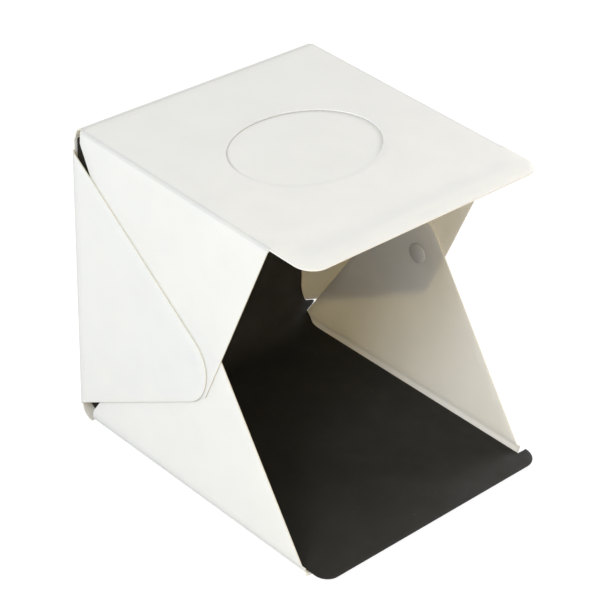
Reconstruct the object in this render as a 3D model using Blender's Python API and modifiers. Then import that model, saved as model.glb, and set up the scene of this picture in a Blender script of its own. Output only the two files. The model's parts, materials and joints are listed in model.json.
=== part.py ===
"""Folding light tent cube: a creased plastic sheet folded into an open-fronted box.

Metres, +Z up. The tent faces -Y. The origin is the middle of the base panel's underside.
The shell is one die-cut sheet, so its panels and flaps meet at soft creases. Each panel,
flap and crease is its own solid here, because each crease is a hinge.
"""
import math

import bmesh
import bpy
from mathutils import Matrix, Vector

# Shell
tent_width = 0.226
base_depth = 0.2421
wall_height = 0.2398
top_depth = 0.2378
sheet = 0.001
back_lean = math.radians(2.6)
top_slope = math.radians(1.1)
lip_depth = 0.038
lip_corner_radius = 0.015
panel_corner_radius = 0.0015
base_bend_radius = 0.0045
base_back_bend_radius = 0.010
back_top_bend_radius = 0.008
crease_radius = 0.0015

# Clearances
seat_gap = 0.0003
layer_gap = 0.0003

# Side closure: a magnet in the lower flap under a round cap, a steel disc in the back flap
closure_depth_share = 0.5035
closure_height_share = 0.4846
magnet_radius = 0.006
keeper_thickness = 0.0003
cap_radius = 0.008
cap_height = 0.0014
cap_rim_height = 0.0004

# Side flaps: where each crease ends on its panel, and the sharp tip that the edges aim at,
# which is then rounded. Lower and back flaps reach past the closure that joins them. The rear
# edge of a lower or upper flap starts square to its crease and turns towards the tip at a heel
lower_rear_setback = 0.0110
lower_front_setback = 0.002
lower_heel_rise = 0.0086
lower_tip_rise = 0.0566
lower_tip_setback = 0.0087
lower_tip_radius = 0.030
upper_rear_setback = 0.0081
upper_heel_drop = 0.0100
upper_tip_share = 0.6143
upper_reach = 0.2110
upper_tip_radius = 0.032
heel_radius = 0.006
back_bottom_setback = 0.0115
back_top_setback = 0.0183
back_tip_overreach = 0.0403
back_tip_drop = 0.0145
back_tip_radius = 0.030

# Oval window in the top panel, and the hinged cover under it
window_width = 0.123
window_length = 0.0906
window_depth_share = 0.4899
cover_margin = 0.007
cover_sheet = 0.0008
cover_patch_radius = 0.0026
cover_patch_thickness = 0.0004
cover_patch_angle = math.radians(42)
cover_neck_width = 0.040
cover_neck_length = 0.0028
cover_crease_length = 0.0020
cover_crease_sheet = 0.0004
cover_tab_length = 0.0120
cover_tab_corner_radius = 0.0030

# Black backdrop sheet, laid on the base and up the back panel
backdrop_sheet = 0.0005
backdrop_overhang = 0.015
backdrop_side_overhang = 0.0085
backdrop_left_corner_radius = 0.011
backdrop_right_corner_radius = 0.015
backdrop_bend_radius = 0.028
backdrop_bend_overlap = 0.001
backdrop_side_clearance = 0.0005
backdrop_top_clearance = 0.009
patch_radius = 0.008
patch_thickness = 0.0006
patch_top_distance = 0.018
patch_side_distance = 0.040

# Light strip under the front lip
strip_width = 0.010
strip_board = 0.0005
strip_tape = 0.0008
strip_side_clearance = 0.008
chip_pitch = 0.0167
chip_size = 0.005
chip_height = 0.0016
inlet_length = 0.013
inlet_width = 0.012
inlet_height = 0.0062
inlet_edge_radius = 0.001
socket_width = 0.0074
socket_height = 0.0028
socket_wall = 0.0004
socket_length = 0.0055
socket_corner_radius = 0.0010
tongue_width = 0.0042
tongue_height = 0.0007
tongue_length = 0.0040

# Facets of a circle, the steps of an arc, the overrun of a cut and the weld of caps
round_facets = 40
bevel_segments = 2
arc_step = math.radians(9)
cut_overrun = 0.001
weld_distance = 0.000001

# Middle planes of the side flaps, from the centre: back flaps outermost, lower flaps inmost
half_back = tent_width / 2 - sheet / 2
half_top = half_back - sheet - layer_gap
half_base = half_top - sheet - layer_gap

ACROSS = Vector((1, 0, 0))
FORWARD = Vector((0, -1, 0))
UP = Vector((0, 0, 1))
WALL_UP = Vector((0, math.sin(back_lean), math.cos(back_lean)))
WALL_FORWARD = Vector((0, -math.cos(back_lean), math.sin(back_lean)))
TOP_FORWARD = Vector((0, -math.cos(top_slope), -math.sin(top_slope)))
TOP_DOWN = Vector((0, math.sin(top_slope), -math.cos(top_slope)))
SIDES = (("left", -1), ("right", 1))

# Base colour, roughness and metallic value of each material
FINISHES = {
    "white_sheet": ((0.86, 0.865, 0.87), 0.42, 0.0),
    "black_sheet": ((0.021, 0.019, 0.017), 0.55, 0.0),
    "cap": ((0.74, 0.73, 0.70), 0.35, 0.0),
    "magnet": ((0.62, 0.62, 0.63), 0.28, 1.0),
    "patch": ((0.80, 0.80, 0.79), 0.90, 0.0),
    "tape": ((0.88, 0.88, 0.84), 0.80, 0.0),
    "board": ((0.90, 0.90, 0.88), 0.50, 0.0),
    "chip": ((0.93, 0.86, 0.48), 0.35, 0.0),
    "housing": ((0.82, 0.82, 0.81), 0.45, 0.0),
    "socket": ((0.70, 0.71, 0.73), 0.25, 1.0),
    "tongue": ((0.05, 0.05, 0.055), 0.50, 0.0),
}


def clear_scene():
    for item in list(bpy.data.objects):
        bpy.data.objects.remove(item, do_unlink=True)


def new_collection(name):
    collection = bpy.data.collections.new(name)
    bpy.context.scene.collection.children.link(collection)
    return collection


def new_material(name):
    colour, roughness, metallic = FINISHES[name]
    material = bpy.data.materials.new(name)
    material.use_nodes = True
    shader = material.node_tree.nodes["Principled BSDF"]
    shader.inputs["Base Color"].default_value = (*colour, 1)
    shader.inputs["Roughness"].default_value = roughness
    shader.inputs["Metallic"].default_value = metallic
    return material


def placement(origin, x_axis, y_axis):
    """A matrix whose local X and Y run along two directions that are square to each other."""
    z_axis = x_axis.cross(y_axis)
    matrix = Matrix((x_axis, y_axis, z_axis)).transposed().to_4x4()
    matrix.translation = origin
    return matrix


def attach(item, body, matrix):
    """Link an object into the model under the body that carries it."""
    parts.objects.link(item)
    item.matrix_basis = matrix
    if body is not None:
        item.parent = body
        item.matrix_parent_inverse = body.matrix_world.inverted()
    bpy.context.view_layer.update()
    return item


def hinge_body(name, carrier, crease_axis, direction):
    """An empty on a hinge's axis, which carries the pieces that turn about it."""
    empty = bpy.data.objects.new(name, None)
    empty.empty_display_size = lip_depth
    turn = direction.to_track_quat("Z", "Y").to_matrix().to_4x4()
    return attach(empty, carrier, Matrix.Translation(crease_axis) @ turn)


def rounded(corners):
    """Outline points of a polygon whose corners (x, y, radius) are rounded by arcs."""
    outline = []
    for index, (x, y, radius) in enumerate(corners):
        corner = Vector((x, y))
        if not radius:
            outline.append(corner)
            continue
        before = (Vector(corners[index - 1][:2]) - corner).normalized()
        after = (Vector(corners[(index + 1) % len(corners)][:2]) - corner).normalized()
        half_angle = before.angle(after) / 2
        centre = corner + (before + after).normalized() * (radius / math.sin(half_angle))
        start = corner + before * (radius / math.tan(half_angle)) - centre
        sweep = math.copysign(math.pi - 2 * half_angle, -before.cross(after))
        steps = max(2, round(abs(sweep) / arc_step))
        for step in range(steps + 1):
            turned = Matrix.Rotation(sweep * step / steps, 2) @ start
            outline.append(centre + turned)
    return outline


def rectangle(width, height, radius, x=0, y=0):
    right, left = x + width / 2, x - width / 2
    top, bottom = y + height / 2, y - height / 2
    corners = ((left, bottom), (right, bottom), (right, top), (left, top))
    return rounded([(*corner, radius) for corner in corners])


def oval(x, y, half_width, half_height):
    turns = (2 * math.pi * index / round_facets for index in range(round_facets))
    return [Vector((x + half_width * math.cos(turn), y + half_height * math.sin(turn)))
            for turn in turns]


def circle(x, y, radius):
    return oval(x, y, radius, radius)


def flat_shape(name, outlines, thickness):
    """A flat closed curve with the given thickness; its inner outlines are holes."""
    curve = bpy.data.curves.new(name, "CURVE")
    curve.dimensions = "2D"
    curve.fill_mode = "BOTH"
    curve.extrude = thickness / 2
    for outline in outlines:
        spline = curve.splines.new("POLY")
        spline.points.add(len(outline) - 1)
        for point, spot in zip(spline.points, outline):
            point.co = (spot.x, spot.y, 0, 1)
        spline.use_cyclic_u = True
    return bpy.data.objects.new(name, curve)


def plate(name, body, matrix, outlines, thickness, material):
    item = flat_shape(name, outlines, thickness)
    item.data.materials.append(materials[material])
    return attach(item, body, matrix)


def solid_mesh(name, build):
    """A mesh object whose geometry is made by a function of an empty bmesh."""
    mesh = bpy.data.meshes.new(name)
    work = bmesh.new()
    build(work)
    work.to_mesh(mesh)
    work.free()
    return bpy.data.objects.new(name, mesh)


def disc(name, body, matrix, radius, thickness, material):
    def build(work):
        bmesh.ops.create_cone(work, cap_ends=True, segments=round_facets,
                              radius1=radius, radius2=radius, depth=thickness)

    item = solid_mesh(name, build)
    item.data.materials.append(materials[material])
    return attach(item, body, matrix)


def box(name, body, matrix, size, material):
    def build(work):
        bmesh.ops.create_cube(work, size=1, matrix=Matrix.Diagonal((*size, 1)))

    item = solid_mesh(name, build)
    item.data.materials.append(materials[material])
    return attach(item, body, matrix)


def dome(name, body, matrix, radius, height, rim_height, material):
    """A shallow round cap with a flat underside, turned about its local Z."""
    rise = height - rim_height
    sphere_radius = (radius ** 2 + rise ** 2) / (2 * rise)
    half_sweep = math.asin(radius / sphere_radius)
    steps = max(4, round(half_sweep / arc_step))
    profile = []
    for step in range(steps + 1):
        angle = half_sweep * step / steps
        drop = sphere_radius * (1 - math.cos(angle))
        profile.append((sphere_radius * math.sin(angle), 0, height - drop))
    profile += [(radius, 0, 0), (0, 0, 0)]

    def build(work):
        points = [work.verts.new(point) for point in profile]
        for first, second in zip(points, points[1:]):
            work.edges.new((first, second))

    item = solid_mesh(name, build)
    turn = item.modifiers.new("turn", "SCREW")
    turn.steps = round_facets
    turn.render_steps = round_facets
    turn.use_merge_vertices = True
    turn.merge_threshold = weld_distance
    item.data.materials.append(materials[material])
    return attach(item, body, matrix)


def welded_copy(item):
    """A mesh of what a curve makes, with its caps welded on."""
    bpy.context.view_layer.update()
    evaluated = item.evaluated_get(bpy.context.evaluated_depsgraph_get())
    mesh = bpy.data.meshes.new_from_object(evaluated)
    work = bmesh.new()
    work.from_mesh(mesh)
    bmesh.ops.remove_doubles(work, verts=work.verts, dist=weld_distance)
    bmesh.ops.recalc_face_normals(work, faces=work.faces)
    work.to_mesh(mesh)
    work.free()
    return mesh


def as_mesh(item):
    """The same piece as a mesh object in place of its curve, so that it can be cut."""
    name, body, matrix = item.name, item.parent, item.matrix_world.copy()
    mesh = welded_copy(item)
    bpy.data.objects.remove(item, do_unlink=True)
    return attach(bpy.data.objects.new(name, mesh), body, matrix)


def cut(item, outline, depth, matrix):
    """Cut a straight-sided recess out of a mesh object, centred on a placement."""
    outline_curve = flat_shape(item.name + "_cutter_outline", [outline], depth)
    cutters.objects.link(outline_curve)
    cutter = bpy.data.objects.new(item.name + "_cutter", welded_copy(outline_curve))
    bpy.data.objects.remove(outline_curve, do_unlink=True)
    cutters.objects.link(cutter)
    cutter.matrix_world = matrix
    cutter.hide_render = True
    cutter.display_type = "WIRE"
    boolean = item.modifiers.new("recess", "BOOLEAN")
    boolean.operation = "DIFFERENCE"
    boolean.solver = "EXACT"
    boolean.object = cutter


class Crease:
    """A soft bend between two flat panels, whose middle planes meet on a line.

    The hinge axis is the middle of the bend, so that the panels come level when unfolded.
    """

    def __init__(self, corner, to_first, to_second, radius):
        self.corner = corner
        self.to_first = to_first
        self.to_second = to_second
        self.radius = radius
        half_angle = to_first.angle(to_second) / 2
        inward = (to_first + to_second).normalized()
        self.panel_start = radius / math.tan(half_angle) + seat_gap
        self.centre = corner + inward * (radius / math.sin(half_angle))
        self.axis_point = self.centre - inward * radius
        self.sweep = math.pi - 2 * half_angle

    def square(self):
        """The direction square to the first panel, on the second panel's side."""
        return (self.to_second - self.to_first * self.to_first.dot(self.to_second)).normalized()

    def section(self, thickness):
        """Outline of the bend, seen along the crease."""
        offset = self.centre - self.corner
        middle = Vector((offset.dot(self.to_first), offset.dot(self.square())))
        steps = max(4, round(self.sweep / arc_step))
        outer = []
        inner = []
        for step in range(steps + 1):
            angle = -math.pi / 2 - self.sweep * step / steps
            ray = Vector((math.cos(angle), math.sin(angle)))
            outer.append(middle + ray * (self.radius + thickness / 2))
            inner.append(middle + ray * (self.radius - thickness / 2))
        return outer + inner[::-1]

    def bend(self, name, body, along, start, end, thickness, material):
        """The bent strip itself, from one distance along the crease to another."""
        middle = self.corner + along * (start + end) / 2
        matrix = placement(middle, self.to_first, self.square())
        return plate(name, body, matrix, [self.section(thickness)], end - start, material)


def flap_outline(zone, tip, tip_radius, base, heel=0):
    """A flap whose edges run from both ends of its crease to a round tip.

    The tip is given along the crease and away from it, and the flap starts at base. With a heel,
    the first edge runs square to the crease that far from it, and only then towards the tip.
    """
    start, end = zone
    along, reach = tip
    corners = [
        (end + (along - end) * base / reach, base, 0),
        (along, reach, tip_radius),
    ]
    if heel:
        corners += [(start, heel, heel_radius), (start, base, 0)]
    else:
        corners.append((start + (along - start) * base / reach, base, 0))
    return rounded(corners)


def panel_outline(half_width, notch, start, zone_end, end, corner_radius):
    """A panel whose sides are cut back by notch as far as its flaps' creases run."""
    shoulder = zone_end + seat_gap
    right = [
        (half_width - notch, start, panel_corner_radius),
        (half_width - notch, shoulder, 0),
        (half_width, shoulder, 0),
        (half_width, end, corner_radius),
    ]
    left = [(-x, y, radius) for x, y, radius in reversed(right)]
    return rounded(right + left)


clear_scene()
parts = new_collection("light_tent_cube")
cutters = new_collection("cutters")
materials = {name: new_material(name) for name in FINISHES}

# Creases of the shell, each from the line where the middle planes of its panels meet
back_corner = Vector((0, base_depth / 2, sheet / 2))
top_corner = back_corner + WALL_UP * wall_height
base_back = Crease(back_corner, FORWARD, WALL_UP, base_back_bend_radius)
back_top = Crease(top_corner, -WALL_UP, TOP_FORWARD, back_top_bend_radius)
base_side = {}
back_side = {}
top_side = {}
for side, sign in SIDES:
    inward = -sign * ACROSS
    base_side[side] = Crease(back_corner - inward * half_base, inward, UP, base_bend_radius)
    back_side[side] = Crease(back_corner - inward * half_back, inward, WALL_FORWARD, crease_radius)
    top_side[side] = Crease(top_corner - inward * half_top, inward, TOP_DOWN, crease_radius)

lower_zone = (lower_rear_setback, base_depth - lower_front_setback)
upper_zone = (upper_rear_setback, top_depth - lip_depth)
back_zone = (back_bottom_setback, wall_height - back_top_setback)

# Bodies that turn, each about its own crease
back_body = hinge_body("back_hinge", None, base_back.axis_point, ACROSS)
top_body = hinge_body("top_hinge", back_body, back_top.axis_point, ACROSS)
lower_body = {}
upper_body = {}
back_flap_body = {}
for side, sign in SIDES:
    lower_body[side] = hinge_body(side + "_lower_hinge", None, base_side[side].axis_point, FORWARD)
    upper_body[side] = hinge_body(
        side + "_upper_hinge", top_body, top_side[side].axis_point, TOP_FORWARD)
    back_flap_body[side] = hinge_body(
        side + "_back_flap_hinge", back_body, back_side[side].axis_point, WALL_UP)

# Base panel, and the soft bends to the lower flaps and to the back panel
base_notch = base_side["right"].panel_start
back_panel_half = half_back - back_side["right"].panel_start
base_place = placement(back_corner, ACROSS, FORWARD)
plate("base_panel", None, base_place,
      [panel_outline(half_base, base_notch, base_back.panel_start, lower_zone[1],
                     base_depth, panel_corner_radius)],
      sheet, "white_sheet")
base_back.bend("base_back_crease", back_body, ACROSS, -back_panel_half, back_panel_half,
               sheet, "white_sheet")
for side, sign in SIDES:
    base_side[side].bend(side + "_base_crease", lower_body[side], FORWARD, *lower_zone,
                         sheet, "white_sheet")

# Back panel, and the bends to the top panel and to the back flaps
wall_place = placement(back_corner, ACROSS, WALL_UP)
back_panel_height = wall_height - base_back.panel_start - back_top.panel_start
back_panel_middle = base_back.panel_start + back_panel_height / 2
plate("back_panel", back_body, wall_place,
      [rectangle(2 * back_panel_half, back_panel_height, panel_corner_radius, 0, back_panel_middle)],
      sheet, "white_sheet")
top_notch = top_side["right"].panel_start
back_top.bend("back_top_crease", top_body, ACROSS, top_notch - half_top,
              half_top - top_notch, sheet, "white_sheet")
for side, sign in SIDES:
    back_side[side].bend(side + "_back_crease", back_flap_body[side], WALL_UP, *back_zone,
                         sheet, "white_sheet")

# Top panel with its window, and the bends to the upper flaps
top_place = placement(top_corner, ACROSS, TOP_FORWARD)
window_depth = top_depth * window_depth_share
plate("top_panel", top_body, top_place,
      [panel_outline(half_top, top_notch, back_top.panel_start, upper_zone[1],
                     top_depth, lip_corner_radius),
       oval(0, window_depth, window_width / 2, window_length / 2)],
      sheet, "white_sheet")
for side, sign in SIDES:
    top_side[side].bend(side + "_top_crease", upper_body[side], TOP_FORWARD, *upper_zone,
                        sheet, "white_sheet")

# Side flaps. The closure is one place, found from the back corner along each flap that it joins
closure_depth = base_depth * closure_depth_share
closure_height = wall_height * closure_height_share
closure = FORWARD * closure_depth + UP * closure_height
lower_tip = (closure_depth - lower_tip_setback, closure_height + lower_tip_rise)
upper_tip = (upper_zone[0] + (upper_zone[1] - upper_zone[0]) * upper_tip_share, upper_reach)
back_tip = (closure.dot(WALL_UP) - back_tip_drop, closure.dot(WALL_FORWARD) + back_tip_overreach)
keeper_recess = keeper_thickness + seat_gap
for side, sign in SIDES:
    inward = -sign * ACROSS
    lower_outline = flap_outline(lower_zone, lower_tip, lower_tip_radius,
                                 base_side[side].panel_start, lower_heel_rise)
    magnet_hole = circle(closure_depth, closure_height, magnet_radius + seat_gap)
    plate(side + "_lower_flap", lower_body[side],
          placement(base_side[side].corner, FORWARD, UP), [lower_outline, magnet_hole],
          sheet, "white_sheet")
    magnet_point = base_side[side].corner + closure
    disc(side + "_closure_magnet", lower_body[side], placement(magnet_point, UP, inward.cross(UP)),
         magnet_radius, sheet, "magnet")
    cap_point = magnet_point + inward * (sheet / 2 + seat_gap)
    dome(side + "_magnet_cap", lower_body[side], placement(cap_point, UP, inward.cross(UP)),
         cap_radius, cap_height, cap_rim_height, "cap")

    upper_outline = flap_outline(upper_zone, upper_tip, upper_tip_radius,
                                 top_side[side].panel_start, upper_heel_drop)
    plate(side + "_upper_flap", upper_body[side],
          placement(top_side[side].corner, TOP_FORWARD, TOP_DOWN), [upper_outline],
          sheet, "white_sheet")

    back_outline = flap_outline(back_zone, back_tip, back_tip_radius,
                                back_side[side].panel_start)
    back_flap = plate(side + "_back_flap", back_flap_body[side],
                      placement(back_side[side].corner, WALL_UP, WALL_FORWARD),
                      [back_outline], sheet, "white_sheet")
    keeper_point = back_side[side].corner + closure + inward * (sheet / 2)
    cut(as_mesh(back_flap), circle(0, 0, magnet_radius + seat_gap), 2 * keeper_recess,
        placement(keeper_point, UP, inward.cross(UP)))
    keeper_middle = keeper_point - inward * (keeper_thickness / 2)
    disc(side + "_keeper_disc", back_flap_body[side],
         placement(keeper_middle, UP, inward.cross(UP)), magnet_radius, keeper_thickness, "magnet")

# Backdrop: one black sheet in three stretches, held at its top by hook and loop dots. In front
# of the base it is wider on the right, where it isn't between the flaps
floor_offset = sheet / 2 + layer_gap + backdrop_sheet / 2
loop_offset = sheet / 2 + seat_gap + patch_thickness / 2
hook_offset = loop_offset + patch_thickness + seat_gap
wall_offset = hook_offset + patch_thickness / 2 + seat_gap + backdrop_sheet / 2
backdrop_setback = (wall_offset - floor_offset * math.sin(back_lean)) / math.cos(back_lean)
backdrop_corner = back_corner + FORWARD * backdrop_setback + UP * floor_offset
backdrop_bend = Crease(backdrop_corner, FORWARD, WALL_UP, backdrop_bend_radius)
floor_half = half_base - base_bend_radius + backdrop_bend_overlap
floor_right = floor_half + backdrop_side_overhang
wall_half = half_top - sheet / 2 - backdrop_side_clearance
floor_step = base_depth - backdrop_setback
floor_end = floor_step + backdrop_overhang
wall_end = wall_height - backdrop_top_clearance
backdrop_bend.bend("backdrop_bend", None, ACROSS, -floor_half, floor_half,
                   backdrop_sheet, "black_sheet")
floor_start = backdrop_bend.panel_start
plate("backdrop_floor", None, placement(backdrop_corner, ACROSS, FORWARD),
      [rounded([(-floor_half, floor_start, 0), (floor_half, floor_start, 0),
                (floor_half, floor_step, 0), (floor_right, floor_step, 0),
                (floor_right, floor_end, backdrop_right_corner_radius),
                (-floor_half, floor_end, backdrop_left_corner_radius)])],
      backdrop_sheet, "black_sheet")
plate("backdrop_wall", back_body, placement(backdrop_corner, ACROSS, WALL_UP),
      [rounded([(-wall_half, floor_start, panel_corner_radius),
                (wall_half, floor_start, panel_corner_radius),
                (wall_half, wall_end, panel_corner_radius),
                (-wall_half, wall_end, panel_corner_radius)])],
      backdrop_sheet, "black_sheet")
for side, sign in SIDES:
    patch_spot = (back_corner + sign * ACROSS * (wall_half - patch_side_distance)
                  + WALL_UP * (wall_end - patch_top_distance))
    for kind, offset in (("loop", loop_offset), ("hook", hook_offset)):
        disc(side + "_backdrop_" + kind + "_dot", back_body,
             placement(patch_spot + WALL_FORWARD * offset, ACROSS, WALL_UP),
             patch_radius, patch_thickness, "patch")


def under_top(x, depth, drop):
    """A point under the top panel: across, forward from the back crease, and down."""
    return top_corner + ACROSS * x + TOP_FORWARD * depth + TOP_DOWN * drop


# Window cover: an oval sheet under the window, on a crease behind it and dots in front
cover_loop_drop = sheet / 2 + seat_gap + cover_patch_thickness / 2
cover_hook_drop = cover_loop_drop + cover_patch_thickness + seat_gap
cover_drop = cover_hook_drop + cover_patch_thickness / 2 + seat_gap + cover_sheet / 2
cover_half_width = window_width / 2 + cover_margin
cover_half_length = window_length / 2 + cover_margin
neck_end = window_depth - cover_half_length - cover_neck_length
cover_hinge_depth = neck_end - seat_gap - cover_crease_length / 2
cover_body = hinge_body("window_cover_hinge", top_body, under_top(0, cover_hinge_depth, cover_drop),
                        ACROSS)
neck_sweep = math.asin(cover_neck_width / 2 / cover_half_width)
cover_outline = [Vector((-cover_neck_width / 2, neck_end)), Vector((cover_neck_width / 2, neck_end))]
cover_arc = 2 * (math.pi - neck_sweep)
for step in range(round_facets + 1):
    turn = -math.pi / 2 + neck_sweep + cover_arc * step / round_facets
    cover_outline.append(Vector((cover_half_width * math.cos(turn),
                                 window_depth + cover_half_length * math.sin(turn))))
cover_place = placement(under_top(0, 0, cover_drop), ACROSS, TOP_FORWARD)
plate("window_cover", cover_body, cover_place, [cover_outline], cover_sheet, "white_sheet")
plate("window_cover_crease", top_body, cover_place,
      [rectangle(cover_neck_width, cover_crease_length, 0, 0, cover_hinge_depth)],
      cover_crease_sheet, "white_sheet")
tab_middle = cover_hinge_depth - cover_crease_length / 2 - seat_gap - cover_tab_length / 2
plate("window_cover_tab", top_body, cover_place,
      [rectangle(cover_neck_width, cover_tab_length, cover_tab_corner_radius, 0, tab_middle)],
      cover_sheet, "white_sheet")
tab_tape_top = sheet / 2 + seat_gap
tab_tape_bottom = cover_drop - cover_sheet / 2 - seat_gap
plate("window_tab_tape", top_body,
      placement(under_top(0, 0, (tab_tape_top + tab_tape_bottom) / 2), ACROSS, TOP_FORWARD),
      [rectangle(cover_neck_width, cover_tab_length, cover_tab_corner_radius, 0, tab_middle)],
      tab_tape_bottom - tab_tape_top, "tape")
cover_patch_half_width = cover_half_width - cover_margin / 2
cover_patch_half_length = cover_half_length - cover_margin / 2
for place_name, turn in (("left", -cover_patch_angle), ("front", 0), ("right", cover_patch_angle)):
    x = cover_patch_half_width * math.sin(turn)
    depth = window_depth + cover_patch_half_length * math.cos(turn)
    for kind, drop, body in (("loop", cover_loop_drop, top_body), ("hook", cover_hook_drop, cover_body)):
        disc(place_name + "_window_" + kind + "_dot", body,
             placement(under_top(x, depth, drop), ACROSS, TOP_FORWARD),
             cover_patch_radius, cover_patch_thickness, "patch")

# Light strip: tape, board and one row of chips under the lip, with its power inlet at one end
strip_depth = top_depth - lip_depth / 2
tape_drop = sheet / 2 + seat_gap + strip_tape / 2
board_drop = tape_drop + strip_tape / 2 + seat_gap + strip_board / 2
chip_drop = board_drop + strip_board / 2 + seat_gap + chip_height / 2
strip_room = 2 * (half_top - strip_side_clearance) - seat_gap - inlet_length
chip_count = math.floor(strip_room / chip_pitch)
strip_length = chip_count * chip_pitch
row_half = (strip_length + seat_gap + inlet_length) / 2
strip_middle = strip_length / 2 - row_half
box("led_tape", top_body, placement(under_top(strip_middle, strip_depth, tape_drop), ACROSS, TOP_FORWARD),
    (strip_length, strip_width, strip_tape), "tape")
box("led_board", top_body, placement(under_top(strip_middle, strip_depth, board_drop), ACROSS, TOP_FORWARD),
    (strip_length, strip_width, strip_board), "board")
for index in range(chip_count):
    x = strip_middle + (index - (chip_count - 1) / 2) * chip_pitch
    box(f"led_chip_{index + 1:02d}", top_body,
        placement(under_top(x, strip_depth, chip_drop), ACROSS, TOP_FORWARD),
        (chip_size, chip_size, chip_height), "chip")

inlet_drop = sheet / 2 + seat_gap + inlet_height / 2
inlet_middle = row_half - inlet_length / 2
inlet = box("power_inlet_housing", top_body,
            placement(under_top(inlet_middle, strip_depth, inlet_drop), ACROSS, TOP_FORWARD),
            (inlet_length, inlet_width, inlet_height), "housing")
rounding = inlet.modifiers.new("rounding", "BEVEL")
rounding.width = inlet_edge_radius
rounding.segments = bevel_segments
recess_depth = socket_length + 2 * seat_gap
recess_start = row_half - recess_depth
cutter_length = recess_depth + cut_overrun
cut(inlet, rectangle(socket_width + 2 * seat_gap, socket_height + 2 * seat_gap,
                     socket_corner_radius + seat_gap),
    cutter_length,
    placement(under_top(recess_start + cutter_length / 2, strip_depth, inlet_drop),
              TOP_FORWARD, TOP_DOWN))
shell_middle = recess_start + seat_gap + socket_length / 2
plate("power_inlet_shell", top_body,
      placement(under_top(shell_middle, strip_depth, inlet_drop), TOP_FORWARD, TOP_DOWN),
      [rectangle(socket_width, socket_height, socket_corner_radius),
       rectangle(socket_width - 2 * socket_wall, socket_height - 2 * socket_wall,
                 socket_corner_radius - socket_wall)],
      socket_length, "socket")
box("power_inlet_tongue", top_body,
    placement(under_top(recess_start + seat_gap + tongue_length / 2, strip_depth, inlet_drop),
              ACROSS, TOP_FORWARD),
    (tongue_length, tongue_width, tongue_height), "tongue")
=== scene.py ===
"""Folding light tent cube: its looks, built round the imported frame. Metres, +Z up, open front to -Y."""
import json
import math

import bmesh
import bpy
import numpy as np
from mathutils import Matrix, Vector
from mathutils.geometry import delaunay_2d_cdt

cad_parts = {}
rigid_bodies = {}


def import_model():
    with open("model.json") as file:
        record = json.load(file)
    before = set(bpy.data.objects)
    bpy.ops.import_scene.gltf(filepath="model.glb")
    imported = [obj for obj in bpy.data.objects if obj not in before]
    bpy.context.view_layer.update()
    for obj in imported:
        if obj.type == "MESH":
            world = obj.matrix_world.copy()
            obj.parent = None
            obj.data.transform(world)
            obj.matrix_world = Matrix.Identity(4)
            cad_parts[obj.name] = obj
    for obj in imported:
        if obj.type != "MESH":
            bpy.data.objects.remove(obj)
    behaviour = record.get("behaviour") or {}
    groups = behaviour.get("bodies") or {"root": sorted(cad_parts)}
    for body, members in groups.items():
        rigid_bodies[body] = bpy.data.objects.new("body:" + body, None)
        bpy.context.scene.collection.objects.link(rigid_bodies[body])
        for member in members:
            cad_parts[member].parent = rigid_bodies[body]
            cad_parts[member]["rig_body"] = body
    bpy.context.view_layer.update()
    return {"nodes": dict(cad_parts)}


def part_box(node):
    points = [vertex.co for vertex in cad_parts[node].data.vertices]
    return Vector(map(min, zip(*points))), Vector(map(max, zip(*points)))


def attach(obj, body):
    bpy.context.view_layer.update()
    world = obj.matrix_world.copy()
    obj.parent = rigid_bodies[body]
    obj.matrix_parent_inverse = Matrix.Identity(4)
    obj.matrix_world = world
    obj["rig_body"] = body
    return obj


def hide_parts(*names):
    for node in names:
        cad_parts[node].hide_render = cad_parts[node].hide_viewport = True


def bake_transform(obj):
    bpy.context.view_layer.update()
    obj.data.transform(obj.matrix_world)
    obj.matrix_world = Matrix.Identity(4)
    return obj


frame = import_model()
nodes = frame["nodes"]

# Directions and corners of the folded shell, as in the part's source
BACK_LEAN, TOP_SLOPE = math.radians(2.6), math.radians(1.1)
ACROSS, FORWARD, UP = Vector((1, 0, 0)), Vector((0, -1, 0)), Vector((0, 0, 1))
WALL_UP = Vector((0, math.sin(BACK_LEAN), math.cos(BACK_LEAN)))
WALL_FORWARD = Vector((0, -math.cos(BACK_LEAN), math.sin(BACK_LEAN)))
TOP_FORWARD = Vector((0, -math.cos(TOP_SLOPE), -math.sin(TOP_SLOPE)))
TOP_DOWN = Vector((0, math.sin(TOP_SLOPE), -math.cos(TOP_SLOPE)))
WIDTH, BASE_DEPTH, WALL_HEIGHT, TOP_DEPTH, LIP_DEPTH = 0.226, 0.2421, 0.2398, 0.2378, 0.038
SHEET, GAP = 0.001, 0.0003
HALF_BACK = WIDTH / 2 - SHEET / 2
HALF_TOP = HALF_BACK - SHEET - GAP
HALF_BASE = HALF_TOP - SHEET - GAP
BACK_CORNER = Vector((0, BASE_DEPTH / 2, SHEET / 2))
TOP_CORNER = BACK_CORNER + WALL_UP * WALL_HEIGHT
SIDES = (("left", -1), ("right", 1))


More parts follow.
